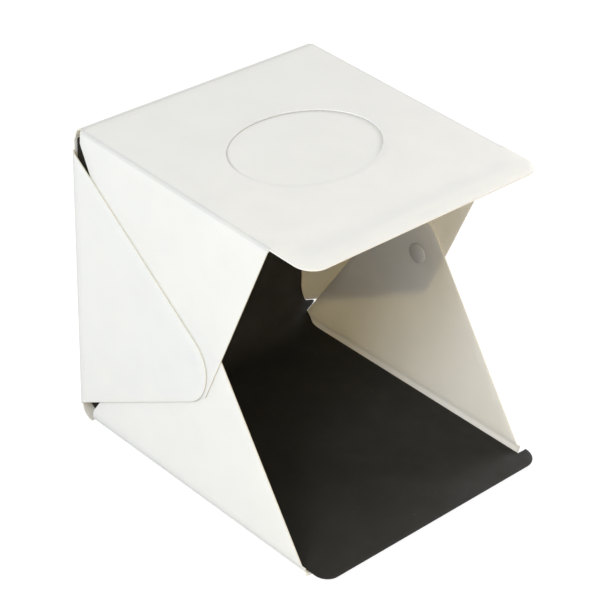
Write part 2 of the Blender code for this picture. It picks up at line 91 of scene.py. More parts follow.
# Node helpers
class Shade:
    """A small wrapper that adds and joins shader nodes by name."""

    def __init__(self, name):
        self.mat = bpy.data.materials.new(name)
        self.mat.use_nodes = True
        self.tree = self.mat.node_tree
        self.out = self.tree.nodes["Material Output"]
        self.bsdf = self.tree.nodes["Principled BSDF"]
        self.where = self.tree.nodes.new("ShaderNodeTexCoord").outputs["Object"]

    def node(self, kind, **values):
        """A new node with its settings and input values; _ in a name stands for a space."""
        made = self.tree.nodes.new("ShaderNode" + kind)
        for key, value in values.items():
            if hasattr(made, key):
                setattr(made, key, value)
            else:
                made.inputs[key.replace("_", " ")].default_value = value
        return made

    def link(self, a, b):
        self.tree.links.new(a, b)

    def noise(self, scale, detail=3.0, rough=0.5, stretch=None, offset=0.0):
        """Noise fixed to the object; stretch scales it for each axis and offset moves it."""
        made = self.node("TexNoise", Scale=scale, Detail=detail, Roughness=rough)
        spot = self.where
        if stretch or offset:
            place = self.node("Mapping")
            place.inputs["Scale"].default_value = stretch or (1, 1, 1)
            place.inputs["Location"].default_value = (offset, offset * 0.7, offset * 1.3)
            self.link(self.where, place.inputs["Vector"])
            spot = place.outputs["Vector"]
        self.link(spot, made.inputs["Vector"])
        return made.outputs["Fac"]

    def ramp(self, fac, stops):
        """A colour picked by fac from (place, colour) stops."""
        made = self.tree.nodes.new("ShaderNodeValToRGB")
        ramp = made.color_ramp
        while len(ramp.elements) < len(stops):
            ramp.elements.new(0.5)
        for element, (place, colour) in zip(ramp.elements, stops):
            element.position = place
            element.color = (*colour, 1)
        self.link(fac, made.inputs["Fac"])
        return made.outputs["Color"]

    def span(self, fac, low, high, start=0.3, end=0.7):
        """fac from start to end, turned into low to high."""
        made = self.node("MapRange")
        for key, value in (("From Min", start), ("From Max", end), ("To Min", low), ("To Max", high)):
            made.inputs[key].default_value = value
        self.link(fac, made.inputs["Value"])
        return made.outputs["Result"]

    def mix(self, fac, a, b):
        """Colour a into colour b by fac; each is a plain value or a socket."""
        made = self.node("Mix", data_type="RGBA")
        for socket, value in ((made.inputs[0], fac), (made.inputs[6], a), (made.inputs[7], b)):
            if hasattr(value, "is_output"):
                self.link(value, socket)
            else:
                socket.default_value = value if isinstance(value, float) else (*value, 1)
        return made.outputs[2]

    def bump(self, *layers):
        """Bump from (height, distance in metres, strength) layers, one over the other."""
        last = None
        for height, distance, strength in layers:
            made = self.node("Bump", Distance=distance, Strength=strength)
            self.link(height, made.inputs["Height"])
            if last is not None:
                self.link(last, made.inputs["Normal"])
            last = made.outputs["Normal"]
        return last


def plastic_sheet(name, tone, warm, clear, crease_axis=None):
    """Thin translucent white plastic: satin skin, faint clouds, fine matt grain; on a crease, painted
    highlight streaks.
    """
    s = Shade(name)
    cloud = s.noise(28, 4, 0.55)
    fine = s.noise(1500, 2, 0.6)
    skin = s.ramp(cloud, [(0.3, tuple(c * 0.975 for c in tone)), (0.7, tone)])
    # Painted highlight: lighter streaks stretched along a crease's axis
    if crease_axis is not None:
        stretch = tuple(30 if i == crease_axis else 900 for i in range(3))
        painted_highlight_streak = s.noise(1, 3, 0.6, stretch)
        skin = s.mix(s.span(painted_highlight_streak, 0.0, 0.6, 0.45, 0.75), skin, tuple(min(1, c * 1.04) for c in tone))
    s.link(skin, s.bsdf.inputs["Base Color"])
    s.link(s.span(s.noise(90, 3), 0.40, 0.52), s.bsdf.inputs["Roughness"])
    s.bsdf.inputs["IOR"].default_value = 1.49
    normal = s.bump((s.noise(14, 2), 0.0012, 0.25), (fine, 0.00005, 0.35))
    s.link(normal, s.bsdf.inputs["Normal"])
    through = s.node("BsdfTranslucent")
    glow = s.ramp(s.noise(45, 3, 0.5, None, 3.1),
                  [(0.3, tuple(c * 0.94 for c in warm)), (0.7, warm)])
    s.link(glow, through.inputs["Color"])
    s.link(normal, through.inputs["Normal"])
    both = s.node("MixShader", Fac=clear)
    s.link(s.bsdf.outputs["BSDF"], both.inputs[1])
    s.link(through.outputs["BSDF"], both.inputs[2])
    s.link(both.outputs["Shader"], s.out.inputs["Surface"])
    return s.mat


def cut_edge(name, tone, rough):
    """The die-cut edge of a sheet: fine cross lines from the blade."""
    s = Shade(name)
    s.link(s.ramp(s.noise(700, 3), [(0.35, tuple(c * 0.93 for c in tone)), (0.65, tone)]),
           s.bsdf.inputs["Base Color"])
    s.link(s.span(s.noise(1200, 2), rough - 0.06, rough + 0.08), s.bsdf.inputs["Roughness"])
    s.link(s.bump((s.noise(2500, 2), 0.00003, 0.5)), s.bsdf.inputs["Normal"])
    return s.mat


def matt_black(name):
    """Black backdrop sheet: matt pebbled skin, slight clouds and a little dust."""
    s = Shade(name)
    base = s.ramp(s.noise(22, 4, 0.6),
                  [(0.3, (0.0175, 0.0162, 0.0142)), (0.7, (0.0240, 0.0222, 0.0195))])
    dust = s.span(s.noise(420, 2, 0.5, None, 5.0), 0.0, 0.55, 0.72, 0.80)
    s.link(s.mix(dust, base, (0.09, 0.085, 0.08)), s.bsdf.inputs["Base Color"])
    s.link(s.span(s.noise(60, 3), 0.52, 0.66), s.bsdf.inputs["Roughness"])
    s.bsdf.inputs["Specular IOR Level"].default_value = 0.12
    pebble = s.node("TexVoronoi", Scale=1400, feature="SMOOTH_F1")
    s.link(s.where, pebble.inputs["Vector"])
    s.link(s.bump((s.noise(16, 2), 0.0015, 0.25), (pebble.outputs["Distance"], 0.00008, 0.45)),
           s.bsdf.inputs["Normal"])
    return s.mat


def moulded(name, tone, rough, grain=1100, depth=0.00004, specular=0.5):
    """Moulded plastic with a fine grain."""
    s = Shade(name)
    s.link(s.ramp(s.noise(240, 3), [(0.3, tuple(c * 0.94 for c in tone)), (0.7, tone)]),
           s.bsdf.inputs["Base Color"])
    s.link(s.span(s.noise(500, 3), rough - 0.05, rough + 0.06), s.bsdf.inputs["Roughness"])
    s.bsdf.inputs["Specular IOR Level"].default_value = specular
    s.link(s.bump((s.noise(grain, 2), depth, 0.5)), s.bsdf.inputs["Normal"])
    return s.mat


def plated(name, tone, rough):
    """Plated steel with fine rubbed scratches."""
    s = Shade(name)
    s.bsdf.inputs["Metallic"].default_value = 1.0
    s.link(s.ramp(s.noise(300, 3), [(0.3, tuple(c * 0.9 for c in tone)), (0.7, tone)]),
           s.bsdf.inputs["Base Color"])
    lines = s.noise(1, 4, 0.6, (400, 3500, 3500))
    s.link(s.span(lines, rough - 0.06, rough + 0.12), s.bsdf.inputs["Roughness"])
    s.link(s.bump((lines, 0.00002, 0.4)), s.bsdf.inputs["Normal"])
    return s.mat


def nap(name, tone, grain, depth):
    """Hook and loop nap: a rough field of tiny fibres."""
    s = Shade(name)
    cells = s.node("TexVoronoi", Scale=grain)
    s.link(s.where, cells.inputs["Vector"])
    s.link(s.ramp(cells.outputs["Distance"], [(0.0, tuple(c * 0.72 for c in tone)), (0.6, tone)]),
           s.bsdf.inputs["Base Color"])
    s.link(s.span(s.noise(grain, 2), 0.82, 0.98), s.bsdf.inputs["Roughness"])
    s.bsdf.inputs["Sheen Weight"].default_value = 0.4
    s.link(s.bump((cells.outputs["Distance"], depth, 0.9), (s.noise(grain * 2, 3), depth, 0.5)),
           s.bsdf.inputs["Normal"])
    return s.mat


def phosphor(name):
    """The clear yellow gel over a light chip."""
    s = Shade(name)
    s.link(s.ramp(s.noise(900, 3), [(0.3, (0.80, 0.66, 0.16)), (0.7, (0.90, 0.78, 0.28))]),
           s.bsdf.inputs["Base Color"])
    s.link(s.span(s.noise(700, 2), 0.14, 0.26), s.bsdf.inputs["Roughness"])
    s.bsdf.inputs["Coat Weight"].default_value = 0.6
    s.link(s.bump((s.noise(400, 2), 0.00003, 0.3)), s.bsdf.inputs["Normal"])
    return s.mat


# The sheet's own white, the tint of light through it, the share of that light, and the creases' white
# darkened as painted shade
WHITE, GLOW = (0.902, 0.915, 0.932), (0.96, 0.83, 0.54)
CLEAR = 0.255
FOLD_PAINTED_SHADE = tuple(c * 0.88 for c in WHITE)
panel_mat = plastic_sheet("white_sheet_skin", WHITE, GLOW, CLEAR)
# The crease strips take the darker white: painted shade that dims their lit bends
crease_x_mat = plastic_sheet("white_crease_across_painted_shade", FOLD_PAINTED_SHADE, GLOW, CLEAR, 0)
crease_y_mat = plastic_sheet("white_crease_along_painted_shade", FOLD_PAINTED_SHADE, GLOW, CLEAR, 1)
crease_z_mat = plastic_sheet("white_crease_upright_painted_shade", FOLD_PAINTED_SHADE, GLOW, CLEAR, 2)
# The cut edge is cream, and darkened as painted shade for the shadow line along the flaps' edges
edge_mat = cut_edge("white_sheet_cut_edge_painted_shade", (0.72, 0.685, 0.58), 0.5)
# The window's rim is toned a little below the sheet's white: painted shade that damps the key's bright
# line on it
rim_mat = cut_edge("window_cut_edge_painted_shade", (0.84, 0.845, 0.85), 0.7)
black_mat = matt_black("black_backdrop_skin")
black_edge_mat = cut_edge("black_backdrop_edge", (0.030, 0.028, 0.026), 0.6)
cap_mat = moulded("cap_plastic", (0.64, 0.64, 0.63), 0.17, 900, 0.00001, 0.7)
magnet_mat = plated("magnet_plating", (0.62, 0.62, 0.63), 0.28)
loop_mat = nap("loop_nap", (0.82, 0.82, 0.81), 2600, 0.0002)
hook_mat = nap("hook_nap", (0.78, 0.78, 0.76), 1700, 0.0003)
tape_mat = moulded("foam_tape_cells", (0.88, 0.88, 0.84), 0.85, 2200, 0.0001, 0.2)
board_mat = moulded("board_mask", (0.88, 0.885, 0.87), 0.42, 1500, 0.00002)
pad_mat = plated("solder_pad", (0.83, 0.80, 0.74), 0.30)
chip_mat = moulded("chip_case", (0.90, 0.90, 0.88), 0.40, 2500, 0.00001)
gel_mat = phosphor("chip_gel")
resistor_mat = moulded("resistor_black", (0.03, 0.03, 0.032), 0.45, 2500, 0.00001)
housing_mat = moulded("inlet_housing_plastic", (0.84, 0.84, 0.83), 0.46)
socket_mat = plated("socket_shell_steel", (0.70, 0.71, 0.73), 0.25)
tongue_mat = moulded("contact_tongue_plastic", (0.05, 0.05, 0.055), 0.5, 1800, 0.00002)
gold_mat = plated("contact_gilding", (0.83, 0.66, 0.32), 0.25)


# Mesh helpers
def finish_object(name, mesh, materials):
    """A smooth shaded object of the mesh, with its materials."""
    for material in materials:
        mesh.materials.append(material)
    mesh.shade_smooth()
    item = bpy.data.objects.new(name, mesh)
    bpy.context.scene.collection.objects.link(item)
    return item


def node_loops(name, origin, u, v):
    """The outlines of a flat CAD plate in its own plane: the outer one first, then its holes."""
    n = u.cross(v)
    mesh = nodes[name].data
    keys, places, index = {}, [], []
    for vertex in mesh.vertices:
        key = tuple(round(c * 1e6) for c in vertex.co)
        if key not in keys:
            keys[key] = len(places)
            places.append(vertex.co.copy())
        index.append(keys[key])
    level = [(p - origin).dot(n) for p in places]
    same_level = 2e-5
    results = []
    for side in (max(level), min(level)):
        edges = {}
        for face in mesh.polygons:
            ring = [index[i] for i in face.vertices]
            if len(set(ring)) > 2 and all(abs(level[i] - side) < same_level for i in ring):
                for a, b in zip(ring, ring[1:] + ring[:1]):
                    if (b, a) in edges:
                        del edges[(b, a)]
                    else:
                        edges[(a, b)] = True
        follow = {a: b for a, b in edges}
        loops = []
        while follow:
            start = min(follow)
            loop, here = [], start
            while here in follow:
                loop.append(here)
                here = follow.pop(here)
            arms = [places[i] - origin for i in loop]
            loops.append([Vector((arm.dot(u), arm.dot(v))) for arm in arms])
        loops.sort(key=lambda l: -abs(area(l)))
        results.append(loops)
    return min(results, key=len) if min(len(r) for r in results) else max(results, key=len)


def area(loop):
    """Positive where the loop runs anticlockwise."""
    return sum(a.x * b.y - b.x * a.y for a, b in zip(loop, loop[1:] + loop[:1])) / 2


def circle_through(a, b, c):
    """Centre and radius of the circle through three points, or None where they lie in line."""
    d = 2 * (a.x * (b.y - c.y) + b.x * (c.y - a.y) + c.x * (a.y - b.y))
    if abs(d) < 1e-12:
        return None
    sa, sb, sc = a.length_squared, b.length_squared, c.length_squared
    centre = Vector(((sa * (b.y - c.y) + sb * (c.y - a.y) + sc * (a.y - b.y)) / d,
                     (sa * (c.x - b.x) + sb * (a.x - c.x) + sc * (b.x - a.x)) / d))
    return centre, (a - centre).length


def clean(loop):
    """Without repeated points and points that lie on a straight line between their neighbours."""
    same_place, straight_on = 1e-6, 1e-3
    loop = [b for a, b in zip(loop[-1:] + loop, loop) if (b - a).length > same_place]
    kept = []
    count = len(loop)
    for i in range(count):
        a, b, c = loop[i - 1], loop[i], loop[(i + 1) % count]
        if abs((b - a).normalized().cross((c - b).normalized())) > straight_on:
            kept.append(b)
    return kept


def finer(loop, arc_parts=4, straight=0.005):
    """Arcs split along their own circles, and long straight runs split too."""
    same_length, arc_turn = 0.08, math.radians(25)
    loop = clean(loop)
    count = len(loop)
    made = []
    for i in range(count):
        before, a, b, after = loop[i - 1], loop[i], loop[(i + 1) % count], loop[(i + 2) % count]
        length = (b - a).length
        found = None
        for p, q, r in ((before, a, b), (a, b, after)):
            same = abs((q - p).length / (r - q).length - 1) < same_length
            turn = abs((q - p).angle_signed(r - q))
            if same and turn < arc_turn:
                found = circle_through(p, q, r)
                break
        made.append(a)
        if found:
            centre, radius = found
            for k in range(1, arc_parts):
                spot = a.lerp(b, k / arc_parts) - centre
                made.append(centre + spot.normalized() * radius)
        else:
            steps = max(1, math.ceil(length / straight))
            made += [a.lerp(b, k / steps) for k in range(1, steps)]
    return made


def inside(x, y, loops):
    """Whether a place lies in the outer loop and in none of the holes."""
    odd = False
    for loop in loops:
        for a, b in zip(loop, loop[1:] + loop[:1]):
            if (a.y > y) != (b.y > y) and x < (b.x - a.x) * (y - a.y) / (b.y - a.y) + a.x:
                odd = not odd
    return odd


def filled(loops, step, guides=()):
    """Triangles that fill the outlines, with the guide points and an even field of points in them."""
    points = [p for loop in loops for p in loop]
    rings = []
    first = 0
    for loop in loops:
        ring = list(range(first, first + len(loop)))
        rings.append(ring if area(loop) > 0 else ring[::-1])
        first += len(loop)
    points += guides
    clearance, same_spot = step * 0.6, 1e-7
    rim = np.array([[p.x, p.y] for p in points])
    low, high = rim.min(0), rim.max(0)
    for j in range(1, int((high[1] - low[1]) / step) + 1):
        for i in range(1, int((high[0] - low[0]) / step) + 1):
            x, y = low[0] + (i + 0.5 * (j % 2)) * step, low[1] + j * step
            if np.hypot(rim[:, 0] - x, rim[:, 1] - y).min() > clearance and inside(x, y, loops):
                points.append(Vector((x, y)))
    spots, _, faces, _, _, owners = delaunay_2d_cdt(points, [], rings, 0, same_spot)
    return spots, [face for face, owner in zip(faces, owners) if list(owner) == [0]]


def offset_loop(loop, amount):
    """The loop moved inwards by amount; an outer loop runs anticlockwise and a hole clockwise."""
    keenest = 0.3  # keeps the point of a keen corner from running far out
    made = []
    count = len(loop)
    for i in range(count):
        before = (loop[i] - loop[i - 1]).normalized()
        after = (loop[(i + 1) % count] - loop[i]).normalized()
        n1, n2 = Vector((-before.y, before.x)), Vector((-after.y, after.x))
        made.append(loop[i] + (n1 + n2) / max(keenest, 1 + n1.dot(n2)) * amount)
    return made


def panel(name, loops, place, thickness, step=0.006, bevel=0.00008, mats=(panel_mat, edge_mat),
          guides=()):
    """A thin plate of the outlines, laid on place(x, y), with softened die-cut edges.

    The first material is for its faces, the second for its rim and the third for its holes' rims.
    """
    loops = [loop if (area(loop) > 0) == (i == 0) else loop[::-1] for i, loop in enumerate(loops)]
    inset = [offset_loop(loop, bevel) for loop in loops]
    spots, faces = filled(inset, step, guides)

    def at(x, y, height):
        near = 0.0004
        run_x = place(x + near, y) - place(x - near, y)
        run_y = place(x, y + near) - place(x, y - near)
        return place(x, y) + run_x.cross(run_y).normalized() * height

    work = bmesh.new()
    half = thickness / 2
    caps = {}
    for height in (half, -half):
        made = {}
        for face in faces:
            for i in face:
                if i not in made:
                    made[i] = work.verts.new(at(spots[i].x, spots[i].y, height))
            ring = [made[i] for i in face]
            work.faces.new(ring if height > 0 else ring[::-1])
        caps[height] = made
    slope = bevel * (1 - math.sqrt(0.5))
    rim = ((slope, half - slope), (0, half - bevel), (0, bevel - half), (slope, slope - half))
    first = 0
    for number, loop in enumerate(loops):
        count = len(loop)
        rings = [[caps[half][first + i] for i in range(count)]]
        for shift, height in rim:
            rings.append([work.verts.new(at(p.x, p.y, height)) for p in offset_loop(loop, shift)])
        rings.append([caps[-half][first + i] for i in range(count)])
        for one, two in zip(rings, rings[1:]):
            for i in range(count):
                j = (i + 1) % count
                face = work.faces.new((one[i], two[i], two[j], one[j]))
                face.material_index = min(number + 1, len(mats) - 1)
        first += count
    mesh = bpy.data.meshes.new(name)
    work.to_mesh(mesh)
    work.free()
    item = finish_object(name, mesh, mats)
    mark_sharp(item.data, 30)
    return item


def mark_sharp(mesh, degrees):
    """Edges that turn by more than this are shaded sharp."""
    work = bmesh.new()
    work.from_mesh(mesh)
    for edge in work.edges:
        if len(edge.link_faces) == 2:
            edge.smooth = edge.calc_face_angle(0) < math.radians(degrees)
    work.to_mesh(mesh)
    work.free()


def ease(share):
    """0 to 1 with level ends."""
    share = min(1, max(0, share))
    return share * share * (3 - 2 * share)


def dome_of(x, y, low, high, rise):
    """A soft pillow of the given rise over a rectangle, zero at its rim."""
    a = min(1, max(0, (x - low[0]) / (high[0] - low[0])))
    b = min(1, max(0, (y - low[1]) / (high[1] - low[1])))
    return rise * math.sin(math.pi * a) * math.sin(math.pi * b)


# Shell panels
def lay(origin, u, v, outward, bulge):
    """Lays outline points on a plane, pushed outwards by bulge(x, y)."""
    return lambda x, y: origin + u * x + v * y + outward * bulge(x, y)


def flat(x, y):
    return 0.0


def shell_panel(node, body, origin, u, v, outward, bulge=flat, trim=None, mats=(panel_mat, edge_mat),
                guides=()):
    """One panel or flap of the shell, from its CAD node's own outline."""
    loops = [finer(loop) for loop in node_loops(node, origin, u, v)]
    if trim:
        loops = [[trim(p) for p in loop] for loop in loops]
    item = panel(node + "_sheet", loops, lay(origin, u, v, outward, bulge), SHEET, mats=mats,
                 guides=guides)
    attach(item, body)
    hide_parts(node)


def back_bulge(x, y):
    """The back panel's soft bulge, over nearly all of it."""
    low, high, rise = (-0.1107, 0.0099), (0.1107, 0.2320), 0.0012
    return dome_of(x, y, low, high, rise)


shell_panel("base_panel", "base", BACK_CORNER, ACROSS, FORWARD, -UP)
shell_panel("back_panel", "back", BACK_CORNER, ACROSS, WALL_UP, -WALL_FORWARD, back_bulge)
# The window in the top panel's plane, and how its edge is drawn down: depth, reach, direction
WINDOW_CENTRE, WINDOW_HALF = Vector((0, TOP_DEPTH * 0.4899)), Vector((0.0615, 0.0453))
PULL_DEPTH, PULL_REACH, PULL_SIDE = 0.0008, 0.12, Vector((-0.35, 0.94))


def window_turn(x, y):
    """A place on the top panel as parts of the window's half sizes from its middle."""
    return Vector(((x - WINDOW_CENTRE.x) / WINDOW_HALF.x, (y - WINDOW_CENTRE.y) / WINDOW_HALF.y))


def drawn_down(x, y):
    """The dots draw the window's left and front edge down a little."""
    spot = window_turn(x, y)
    near = ease(1 - (spot.length - 1) / PULL_REACH)
    return -PULL_DEPTH * near * ease(0.2 + 0.9 * spot.normalized().dot(PULL_SIDE))


def window_rings(parts=150):
    """Points round the window that carry its drawn down edge."""
    made = []
    for reach in (1.018, 1.036, 1.054, 1.072, 1.09, 1.108, 1.13):
        for k in range(parts):
            turn = 2 * math.pi * k / parts
            made.append(WINDOW_CENTRE + Vector((math.cos(turn), math.sin(turn))) * WINDOW_HALF * reach)
    return made


shell_panel("top_panel", "top", TOP_CORNER, ACROSS, TOP_FORWARD, -TOP_DOWN, drawn_down,
            mats=(panel_mat, panel_mat, rim_mat), guides=window_rings())

# The back flaps' lower edge: a place on it, its upward normal, and how far the upper flaps stay above it
FLAP_LOW = min((v.co for v in nodes["right_back_flap"].data.vertices), key=lambda p: p.z)
FLAP_EDGE_UP, FLAP_MARGIN = Vector((0, 0.5, math.sqrt(0.75))), 0.0006


def drawn_in(spot):
    """The upper flaps' tips end just above the back flaps' lower edges, so none shows under them."""
    place = TOP_CORNER + TOP_FORWARD * spot.x + TOP_DOWN * spot.y
    past = FLAP_MARGIN - (place - FLAP_LOW).dot(FLAP_EDGE_UP)
    return spot - Vector((0, max(0, past / -TOP_DOWN.dot(FLAP_EDGE_UP))))


for side, sign in SIDES:
    out = ACROSS * sign
    shell_panel(side + "_lower_flap", side + "_lower_side", BACK_CORNER + out * HALF_BASE,
                FORWARD, UP, out)
    shell_panel(side + "_upper_flap", side + "_upper_side", TOP_CORNER + out * HALF_TOP,
                TOP_FORWARD, TOP_DOWN, out, trim=drawn_in)
    shell_panel(side + "_back_flap", side + "_back_side", BACK_CORNER + out * HALF_BACK,
                WALL_UP, WALL_FORWARD, out)


# Creases
def crease(node, corner, first, second, radius, along, start, end, material):
    """A soft bend that turns smoothly between its two panels."""
    half_angle = first.angle(second) / 2
    inward = (first + second).normalized()
    centre = corner + inward * (radius / math.sin(half_angle))
    sweep = math.pi - 2 * half_angle
    tangent = radius / math.tan(half_angle)
    steps, row_length = 18, 0.006
    square = (second - first * first.dot(second)).normalized()
    profile = [(corner + first * (tangent + GAP * share), square) for share in (1.0, 0.5)]
    for k in range(steps + 1):
        angle = sweep * k / steps
        ray = -(square * math.cos(angle) + first * math.sin(angle))
        profile.append((centre + ray * radius, -ray))
    square_2 = (first - second * first.dot(second)).normalized()
    profile += [(corner + second * (tangent + GAP * share), square_2) for share in (0.5, 1.0)]
    rows = max(2, math.ceil((end - start) / row_length))
    work = bmesh.new()
    rings = []
    for j in range(rows + 1):
        shift = along * (start + (end - start) * j / rows)
        outer = [work.verts.new(p - n * (SHEET / 2) + shift) for p, n in profile]
        inner = [work.verts.new(p + n * (SHEET / 2) + shift) for p, n in profile]
        rings.append((outer, inner))
    for (o1, i1), (o2, i2) in zip(rings, rings[1:]):
        for k in range(len(profile) - 1):
            work.faces.new((o1[k], o1[k + 1], o2[k + 1], o2[k]))
            work.faces.new((i1[k + 1], i1[k], i2[k], i2[k + 1]))
        for k in (0, len(profile) - 1):
            work.faces.new((o1[k], i1[k], i2[k], o2[k]))
    for outer, inner in (rings[0], rings[-1]):
        for k in range(len(profile) - 1):
            face = work.faces.new((outer[k], outer[k + 1], inner[k + 1], inner[k]))
            face.material_index = 1
    bmesh.ops.recalc_face_normals(work, faces=work.faces)
    mesh = bpy.data.meshes.new(node + "_bend")
    work.to_mesh(mesh)
    work.free()
    item = finish_object(node + "_bend", mesh, [material, edge_mat])
    mark_sharp(item.data, 35)
    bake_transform(item)
    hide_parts(node)


# Bend radii, then each crease with where it starts and ends along its line, as in the part's source
SOFT, ROUND, MILD, TIGHT = 0.010, 0.008, 0.0045, 0.0015
crease("base_back_crease", BACK_CORNER, FORWARD, WALL_UP, SOFT, ACROSS,
       TIGHT + GAP - HALF_BACK, HALF_BACK - TIGHT - GAP, crease_x_mat)
crease("back_top_crease", TOP_CORNER, -WALL_UP, TOP_FORWARD, ROUND, ACROSS,
       TIGHT + GAP - HALF_TOP, HALF_TOP - TIGHT - GAP, crease_x_mat)
for side, sign in SIDES:
    inward = -sign * ACROSS
    crease(side + "_base_crease", BACK_CORNER - inward * HALF_BASE, inward, UP, MILD, FORWARD,
           0.0110, BASE_DEPTH - 0.002, crease_y_mat)
    crease(side + "_top_crease", TOP_CORNER - inward * HALF_TOP, inward, TOP_DOWN, TIGHT, TOP_FORWARD,
           0.0081, TOP_DEPTH - LIP_DEPTH, crease_y_mat)
    crease(side + "_back_crease", BACK_CORNER - inward * HALF_BACK, inward, WALL_FORWARD, TIGHT, WALL_UP,
           0.0115, WALL_HEIGHT - 0.0183, crease_z_mat)


# Backdrop
def rounded(corners, turn=math.radians(9)):
    """Outline points of a polygon whose corners (x, y, radius) are rounded by arcs."""
    outline = []
    for index, (x, y, radius) in enumerate(corners):
        corner = Vector((x, y))
        if not radius:
            outline.append(corner)
            continue
        before = (Vector(corners[index - 1][:2]) - corner).normalized()
        after = (Vector(corners[(index + 1) % len(corners)][:2]) - corner).normalized()
        half_angle = before.angle(after) / 2
        centre = corner + (before + after).normalized() * (radius / math.sin(half_angle))
        start = corner + before * (radius / math.tan(half_angle)) - centre
        sweep = math.copysign(math.pi - 2 * half_angle, -before.cross(after))
        steps = max(2, round(abs(sweep) / turn))
        outline += [centre + Matrix.Rotation(sweep * k / steps, 2) @ start for k in range(steps + 1)]
    return outline


def backdrop():
    """One black sheet from its front edge, over the floor, round the bend and up the back."""
    floor_low, floor_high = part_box("backdrop_floor")
    wall_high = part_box("backdrop_wall")[1]
    radius, thick, overhang, corner_y = 0.028, 0.0005, 0.015, 0.118245
    corner = Vector((0, corner_y, (floor_low.z + floor_high.z) / 2))
    half_angle = FORWARD.angle(WALL_UP) / 2
    tangent = radius / math.tan(half_angle)
    centre = corner + (FORWARD + WALL_UP).normalized() * (radius / math.sin(half_angle))
    arc = radius * (math.pi - 2 * half_angle)
    floor_length = corner.y - floor_low.y - tangent
    bend_end = floor_length + arc
    total = bend_end + (wall_high - corner).dot(WALL_UP) - tangent
    floor_half, floor_right, wall_half = -floor_low.x, floor_high.x, wall_high.x

    def place(x, y):
        """x across, y along the sheet from its front edge."""
        if y < floor_length:
            return corner + FORWARD * (tangent + floor_length - y) + ACROSS * x
        if y > bend_end:
            return corner + WALL_UP * (y - bend_end + tangent) + ACROSS * x
        angle = (y - floor_length) / radius
        ray = UP * math.cos(angle) + FORWARD * math.sin(angle)
        return centre - ray * radius + ACROSS * x

    def side_of(places, steps=55):
        """One smoothed side of the sheet over its bend, from (share of the bend, distance out) places."""
        shares, reaches = zip(*places)
        made = []
        for k in range(steps + 1):
            share = shares[0] + (shares[-1] - shares[0]) * k / steps
            spread = [share + shift for shift in (-0.012, -0.006, 0, 0.006, 0.012)]
            reach = float(np.interp(spread, shares, reaches).mean())
            made.append((reach, floor_length + arc * share, 0))
        return made

    # Behind the lower flaps it has more room. On the right an ear comes out under the back flap.
    left_side = side_of([(0.40, floor_half), (0.55, 0.1078), (0.72, 0.1092), (0.98, wall_half)])
    right_side = side_of([(0.20, floor_half), (0.36, 0.1090), (0.482, 0.1092), (0.508, 0.1120),
                          (0.540, 0.1160), (0.585, 0.1198), (0.610, 0.1202), (0.640, 0.1172),
                          (0.658, 0.1135), (0.675, 0.1117), (0.720, 0.1114), (0.820, 0.1108),
                          (0.980, wall_half)])
    corners = [(-floor_half, 0, 0.011), (floor_right, 0, overhang), (floor_right, overhang, 0),
               (floor_half, overhang, 0), *right_side, (wall_half, total, 0.0015),
               (-wall_half, total, 0.0015)]
    corners += [(-x, y, 0) for x, y, _ in reversed(left_side)]
    outline = rounded(corners)
    item = panel("backdrop_sheet", [finer(outline, 4, 0.003)], place, thick, 0.0045, 0.0001,
                 [black_mat, black_edge_mat])
    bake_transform(item)
    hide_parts("backdrop_floor", "backdrop_bend", "backdrop_wall")


backdrop()


# Window cover
def window_cover():
    """The oval cover with its neck, live hinge and fixing tab, all one thin sheet."""
    lo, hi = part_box("window_cover")
    drop = (Vector((0, (lo.y + hi.y) / 2, (lo.z + hi.z) / 2)) - TOP_CORNER).dot(TOP_DOWN)
    origin = TOP_CORNER + TOP_DOWN * drop

    def along(node):
        """How far along the top panel a node's points lie."""
        return [(v.co - origin).dot(TOP_FORWARD) for v in nodes[node].data.vertices]

    tab_end, fold = min(along("window_cover_tab")), along("window_cover_crease")
    half_width, half_neck = hi.x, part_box("window_cover_tab")[1].x
    half_length = max(along("window_cover")) - WINDOW_CENTRE.y
    sweep, parts = math.asin(half_neck / half_width), 60
    oval = []
    for k in range(parts + 1):
        turn = -math.pi / 2 + sweep + 2 * (math.pi - sweep) * k / parts
        oval.append((half_width * math.cos(turn), WINDOW_CENTRE.y + half_length * math.sin(turn), 0))
    outline = rounded(oval + [(-half_neck, tab_end, 0.003), (half_neck, tab_end, 0.003)])
    # The bow's height, the lengths over which it rises and falls, where it ends on the right, how much
    # sooner it ends on the left, and the width over which that changes
    lift, rises, falls, right_end, sooner, across = 0.0013, 0.0085, 0.022, 0.031, 0.043, 0.06
    thick = 0.0008

    def bow(x, y):
        """Behind the dots the cover's own spring holds it up."""
        end = WINDOW_CENTRE.y + right_end - sooner * ease(0.5 - x / across)
        return -lift * ease((y - max(fold)) / rises) * ease((end - y) / falls)

    item = panel("window_cover_sheet", [finer(outline)], lay(origin, ACROSS, TOP_FORWARD, TOP_DOWN, bow),
                 thick, 0.004, 0.00015)
    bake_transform(item)
    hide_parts("window_cover", "window_cover_crease", "window_cover_tab")


window_cover()


# Small pieces
def seat_of(node, axis):
    """The foot of a CAD piece on its own axis, and its height along it."""
    places = {tuple(round(c, 6) for c in v.co) for v in nodes[node].data.vertices}
    middle = sum((Vector(p) for p in places), Vector()) / len(places)
    reach = [(Vector(p) - middle).dot(axis) for p in places]
    return middle + axis * min(reach), max(reach) - min(reach)


def standing(node, foot, axis, work, materials):
    """A finished piece from a mesh built round local Z, set on its foot in place of its CAD node."""
    u = ACROSS if abs(axis.x) < 0.5 else UP
    v = axis.cross(u).normalized()
    u = v.cross(axis)
    bmesh.ops.recalc_face_normals(work, faces=work.faces)
    place = Matrix((u, v, axis)).transposed().to_4x4()
    place.translation = foot
    bmesh.ops.transform(work, matrix=place, verts=work.verts)
    mesh = bpy.data.meshes.new(node + "_finished")
    work.to_mesh(mesh)
    work.free()
    item = finish_object(node + "_finished", mesh, materials)
    mark_sharp(item.data, 40)
    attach(item, nodes[node]["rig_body"])
    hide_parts(node)


